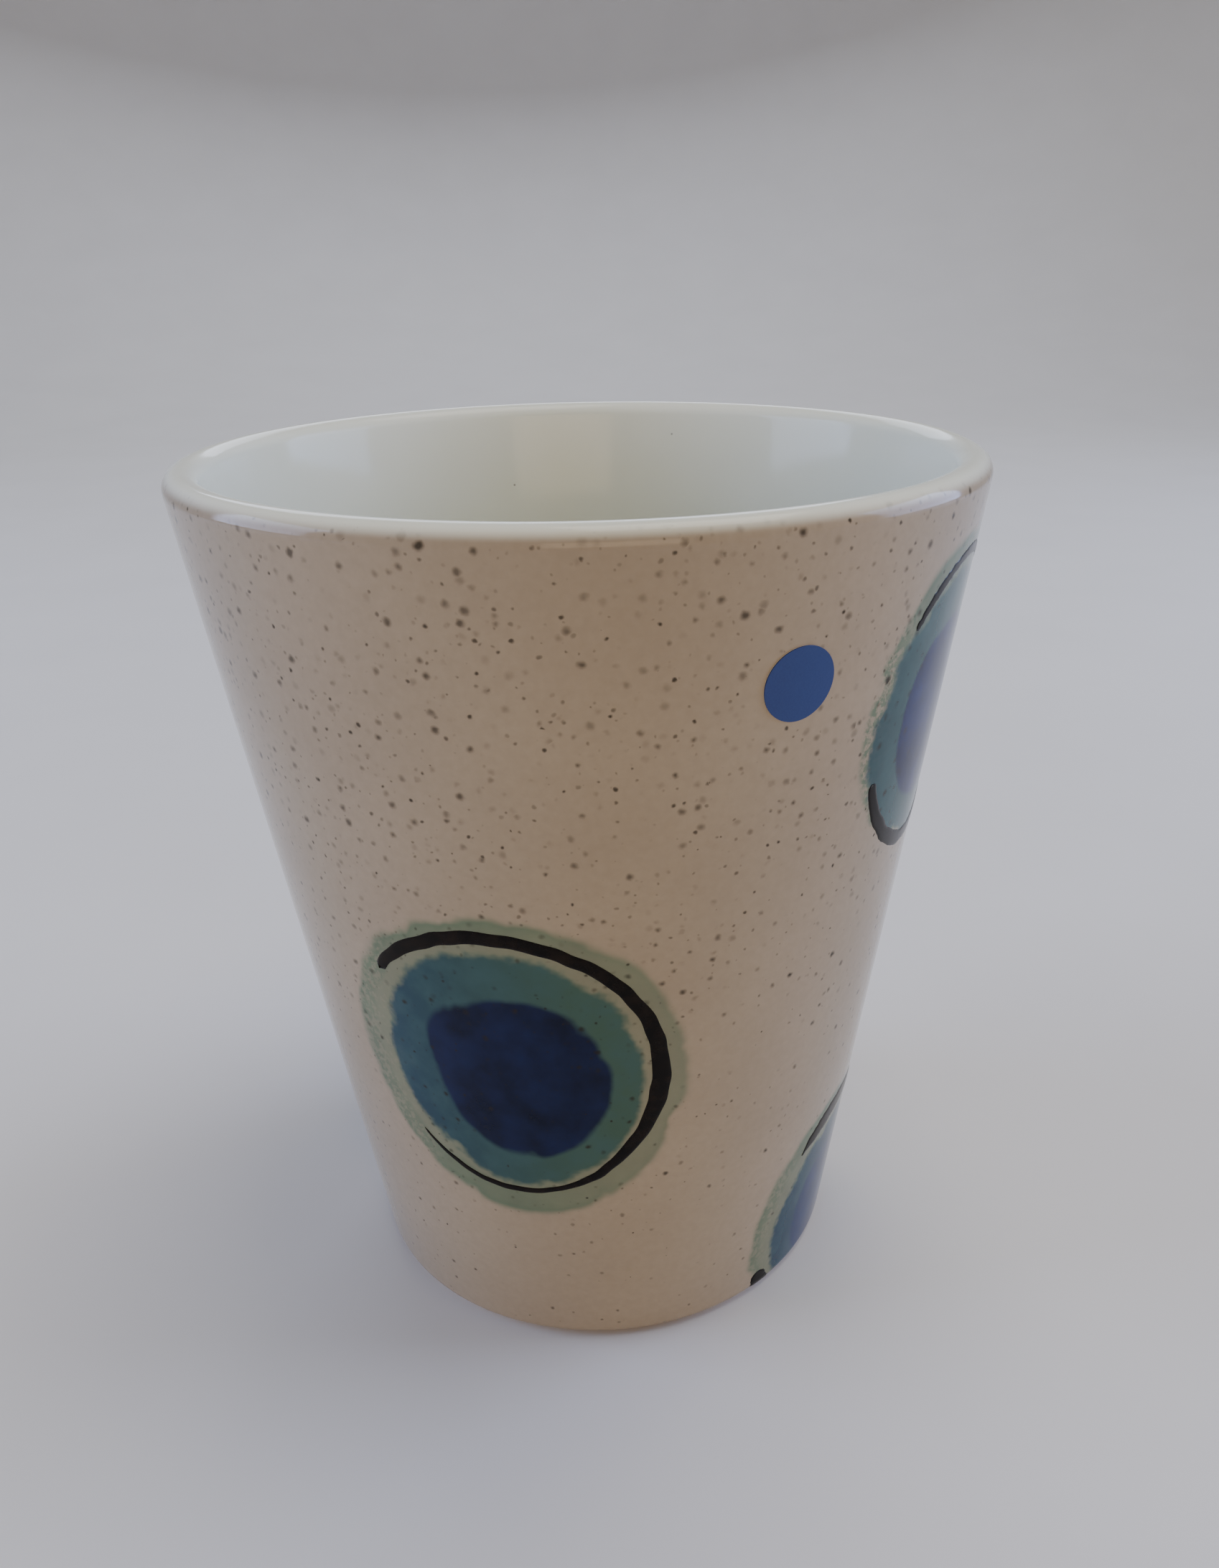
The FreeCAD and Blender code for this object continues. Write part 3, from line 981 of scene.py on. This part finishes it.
    # ring: blue-green slip, bluer on its left, cloudy, with a soft beaded edge
    blue, green_side = motif["blue_to_green"]
    side = add(
        tree, "MapRange", {"Value": across, "From Min": blue, "From Max": green_side}
    ).outputs[0]
    tint = add(
        tree,
        "Mix",
        {0: side, 6: colour_of("ring_blue"), 7: colour_of("ring_green")},
        data_type="RGBA",
    ).outputs[2]
    brushy = add(
        tree, "MapRange", {"Value": tone, "From Min": 0.4, "From Max": 0.7, "To Max": 0.5}
    ).outputs[0]
    teal = add(
        tree, "Mix", {0: brushy, 6: tint, 7: colour_of("ring_cloud")}, data_type="RGBA"
    ).outputs[2]
    ring = add(
        tree,
        "MapRange",
        {"Value": gap, "From Min": 0.5, "From Max": -0.6, "To Max": 0.95},
        interpolation_type="SMOOTHSTEP",
    ).outputs[0]
    painted = add(tree, "Mix", {0: ring, 6: painted, 7: teal}, data_type="RGBA").outputs[2]

    # core: cloudy navy with a soft edge
    cloud = add(
        tree, "TexNoise", {"Vector": place, "Scale": PER_MM["navy_cloud"], "Detail": 3.0}
    ).outputs["Fac"]
    veil = add(
        tree,
        "MapRange",
        {"Value": cloud, "From Min": 0.3, "From Max": 0.75, "To Min": 0.1, "To Max": 0.6},
    ).outputs[0]
    navy = add(
        tree,
        "Mix",
        {0: veil, 6: linear(motif["navy"][0]), 7: linear(motif["navy"][1])},
        data_type="RGBA",
    ).outputs[2]
    core = add(
        tree,
        "MapRange",
        {"Value": core_edge, "From Min": 0.45, "From Max": -0.45},
        interpolation_type="SMOOTHSTEP",
    ).outputs[0]
    painted = add(tree, "Mix", {0: core, 6: painted, 7: navy}, data_type="RGBA").outputs[2]
    outer_glaze_finish(tree, place, height, painted)
    return material


def black_line():
    """Iron and manganese brushwork, laid on with a loaded brush: near black, brown where thin."""
    material, tree = new_material("black_oxide_brushwork")
    place = place_in_mm(tree)
    thin = add(
        tree, "TexNoise", {"Vector": place, "Scale": PER_MM["line_body"], "Detail": 3.0}
    ).outputs["Fac"]
    brown = add(
        tree, "MapRange", {"Value": thin, "From Min": 0.4, "From Max": 0.75, "To Max": 0.8}
    ).outputs[0]
    colour = add(
        tree,
        "Mix",
        {0: brown, 6: colour_of("line_black"), 7: colour_of("line_brown")},
        data_type="RGBA",
    ).outputs[2]
    roughness = add(
        tree, "MapRange", {"Value": thin, "To Min": 0.12, "To Max": 0.24}
    ).outputs[0]
    finish_material(
        tree,
        colour,
        roughness,
        glaze_waves(tree, place),
        GLAZE_WAVE_DEPTH,
        **{"IOR": GLASS, "Specular IOR Level": LINE_GLOSS},
    )
    return material


def bare_stoneware():
    """Unglazed stoneware of the foot ring: toasted buff clay with grog, wiped with a sponge."""
    material, tree = new_material("bare_stoneware_sponged")
    place = place_in_mm(tree)
    cloud = add(
        tree, "TexNoise", {"Vector": place, "Scale": PER_MM["clay_cloud"], "Detail": 4.0}
    ).outputs["Fac"]
    body = add(
        tree,
        "Mix",
        {0: cloud, 6: colour_of("clay_toasted"), 7: colour_of("clay_buff")},
        data_type="RGBA",
    ).outputs[2]
    grog = add(tree, "TexVoronoi", {"Vector": place, "Scale": PER_MM["grog"]})
    grain = add(
        tree,
        "MapRange",
        {"Value": grog.outputs["Distance"], "From Min": 0.3, "From Max": 0.1, "To Max": 0.6},
    ).outputs[0]
    colour = add(
        tree, "Mix", {0: grain, 6: body, 7: colour_of("grog")}, data_type="RGBA"
    ).outputs[2]
    grit = add(
        tree, "TexNoise", {"Vector": place, "Scale": PER_MM["clay_grit"], "Detail": 4.0}
    ).outputs["Fac"]
    finish_material(tree, colour, 0.82, grit, 0.08 * MM, IOR=GLASS)
    return material


def blue_paper():
    """Coated blue label paper, die cut: matte, with faint fibres.

    Real fibres are a few hundredths of a millimetre; these are a quarter of one, so that they show.
    """
    material, tree = new_material("blue_label_paper_die_cut")
    place = place_in_mm(tree)
    fibre = add(
        tree, "TexNoise", {"Vector": place, "Scale": PER_MM["paper_fibre"], "Detail": 5.0}
    ).outputs["Fac"]
    colour = add(
        tree,
        "Mix",
        {0: fibre, 6: colour_of("paper_blue"), 7: colour_of("paper_fibre")},
        data_type="RGBA",
    ).outputs[2]
    finish_material(tree, colour, 0.6, fibre, 0.01 * MM, IOR=1.45)
    return material


def label_adhesive():
    """Cured label adhesive, rolled on: a thin cloudy film, half matte, that shows at the dot's edge."""
    material, tree = new_material("label_adhesive_film")
    place = place_in_mm(tree)
    cloud = add(
        tree, "TexNoise", {"Vector": place, "Scale": PER_MM["adhesive_cloud"], "Detail": 3.0}
    ).outputs["Fac"]
    colour = add(
        tree,
        "Mix",
        {0: cloud, 6: colour_of("adhesive_clear"), 7: colour_of("adhesive_cloudy")},
        data_type="RGBA",
    ).outputs[2]
    finish_material(tree, colour, 0.4, cloud, 0.01 * MM, IOR=1.48)
    return material


def pale_table():
    """Matt painted board, rolled: near white, faintly uneven."""
    material, tree = new_material("matt_painted_board")
    place = place_in_mm(tree)
    roll = add(
        tree, "TexNoise", {"Vector": place, "Scale": PER_MM["board_roll"], "Detail": 3.0}
    ).outputs["Fac"]
    colour = add(
        tree, "Mix", {0: roll, 6: colour_of("board_shade"), 7: colour_of("board")}, data_type="RGBA"
    ).outputs[2]
    finish_material(tree, colour, 0.85, roll, 0.01 * MM)
    return material


def dress(piece, material):
    piece.data.materials.clear()
    piece.data.materials.append(material)


# ---------------------------------------------------------------- the mug


SPECKLED = speckled_glaze()
LINER = liner_glaze()
LINE = black_line()


def make_liner():
    piece = turned_sheet("liner_glaze_coat", bore_profile())
    face_away(piece, lambda faces: min(faces, key=lambda face: face.center.z).normal.z < 0)
    thicken(piece, COAT)
    smooth(piece)
    lip_normals(piece)
    dress(piece, LINER)
    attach(piece, "root")
    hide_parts("liner_glaze")


def make_outer_wall():
    """Outer glaze, with the stretch of it round each motif split off as a piece of its own."""
    skin = turned_sheet("outer_glaze_coat", outer_profile())
    face_away(skin, lambda faces: outward(faces[len(faces) // 2]) < 0)
    pieces = [skin]
    for name, motif in MOTIFS.items():
        patch = split_off(skin, motif["at"], f"{name}_colours", motif_reach(motif))
        map_in_mm(patch, motif["at"])
        dress(patch, brushed_colours(name, motif))
        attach(patch, "root")
        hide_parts(f"{name}_halo", f"{name}_ring", f"{name}_core")
        pieces.append(patch)
    dress(skin, SPECKLED)
    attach(skin, "root")
    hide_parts("outer_glaze")
    for piece in pieces:
        thicken(piece, COAT)
        smooth(piece)
        true_normals(piece)


def make_brush_lines():
    hand = random.Random(11)
    for name, motif in MOTIFS.items():
        for index, (first, last, widths) in enumerate(motif["strokes"], start=1):
            piece = brush_stroke(
                f"{name}_brush_line_{index}", motif["at"], motif["line"], first, last, widths, hand
            )
            face_away(piece, lambda faces: outward(faces[0]) < 0)
            thicken(piece, STROKE_FILM)
            cut_at_foot(piece)
            tidy_normals(piece)
            smooth(piece, 60)
            dress(piece, LINE)
            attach(piece, "root")
            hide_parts(f"{name}_line")


make_liner()
make_outer_wall()
make_brush_lines()
dress(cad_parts["clay_body"], bare_stoneware())
dress(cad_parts["underside_glaze"], LINER)
dress(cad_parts["price_dot"], blue_paper())
dress(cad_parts["dot_adhesive"], label_adhesive())


# ---------------------------------------------------------------- table, light and camera


def make_table():
    """Pale round table that curves up all round into a backdrop."""
    flat, sweep, top = 0.9, 0.7, 1.3
    curve = arc_points((flat, sweep), sweep, -math.pi / 2, 0.0, 12)
    floor = turned_sheet("pale_table", [(0.0, 0.0), *curve, (flat + sweep, top)])
    face_away(floor, lambda faces: faces[0].normal.z < 0)
    smooth(floor)
    dress(floor, pale_table())


def soft_light(name, place, aim, size, power, colour):
    data = bpy.data.lights.new(name, "AREA")
    data.shape = "RECTANGLE"
    data.size, data.size_y = size
    data.energy = power
    data.color = linear(colour)[:3]
    lamp = bpy.data.objects.new(name, data)
    bpy.context.collection.objects.link(lamp)
    lamp.location = place
    lamp.rotation_euler = (Vector(aim) - Vector(place)).to_track_quat("-Z", "Y").to_euler()
    lamp.visible_camera = False


def make_light():
    """Cool daylight from both sides and behind, a warm low softbox in front, and a soft one above."""
    world = bpy.data.worlds.new("soft_room")
    bpy.context.scene.world = world
    world.use_nodes = True
    world.node_tree.nodes["Background"].inputs[0].default_value = linear("#E8E4DC")
    world.node_tree.nodes["Background"].inputs[1].default_value = 0.12
    middle = (0, 0, HEIGHT / 2)
    soft_light("window_left", (-0.8, 0.0, 0.3), middle, (0.5, 0.5), 6.8, "#BED0FF")
    soft_light("window_right", (0.78, 0.12, 0.27), middle, (0.5, 0.5), 6.8, "#B0C7FF")
    soft_light("window_back", (-0.1, 1.2, 0.75), middle, (1.0, 0.5), 6.0, "#E4ECFF")
    soft_light("lamp_front", (0.12, -0.95, 0.22), middle, (0.6, 0.4), 3.4, "#FFE0BA")
    soft_light("lamp_above", (0.25, 0.05, 1.05), middle, (0.6, 0.6), 6.2, "#FFF8EE")


def make_camera():
    """Hand-held close view from a little above the rim, turned a few degrees."""
    eye = (0.0, -0.155063, 0.128845)
    pitch, yaw, roll = 0.38053, 0.04616, 0.01564
    ahead = Vector((math.sin(yaw) * math.cos(pitch), math.cos(yaw) * math.cos(pitch), -math.sin(pitch)))
    level = Vector((math.cos(yaw), -math.sin(yaw), 0))
    over = level.cross(ahead)
    right = level * math.cos(roll) - over * math.sin(roll)
    above = level * math.sin(roll) + over * math.cos(roll)
    data = bpy.data.cameras.new("camera")
    data.sensor_width = 36.0
    data.lens = 29.253
    data.shift_x = -0.0238
    data.shift_y = -0.0177
    data.clip_start = 0.01
    camera = bpy.data.objects.new("camera", data)
    bpy.context.collection.objects.link(camera)
    turn = Matrix((right, above, -ahead)).transposed().to_4x4()
    camera.matrix_world = Matrix.Translation(eye) @ turn
    bpy.context.scene.camera = camera


make_table()
make_light()
make_camera()
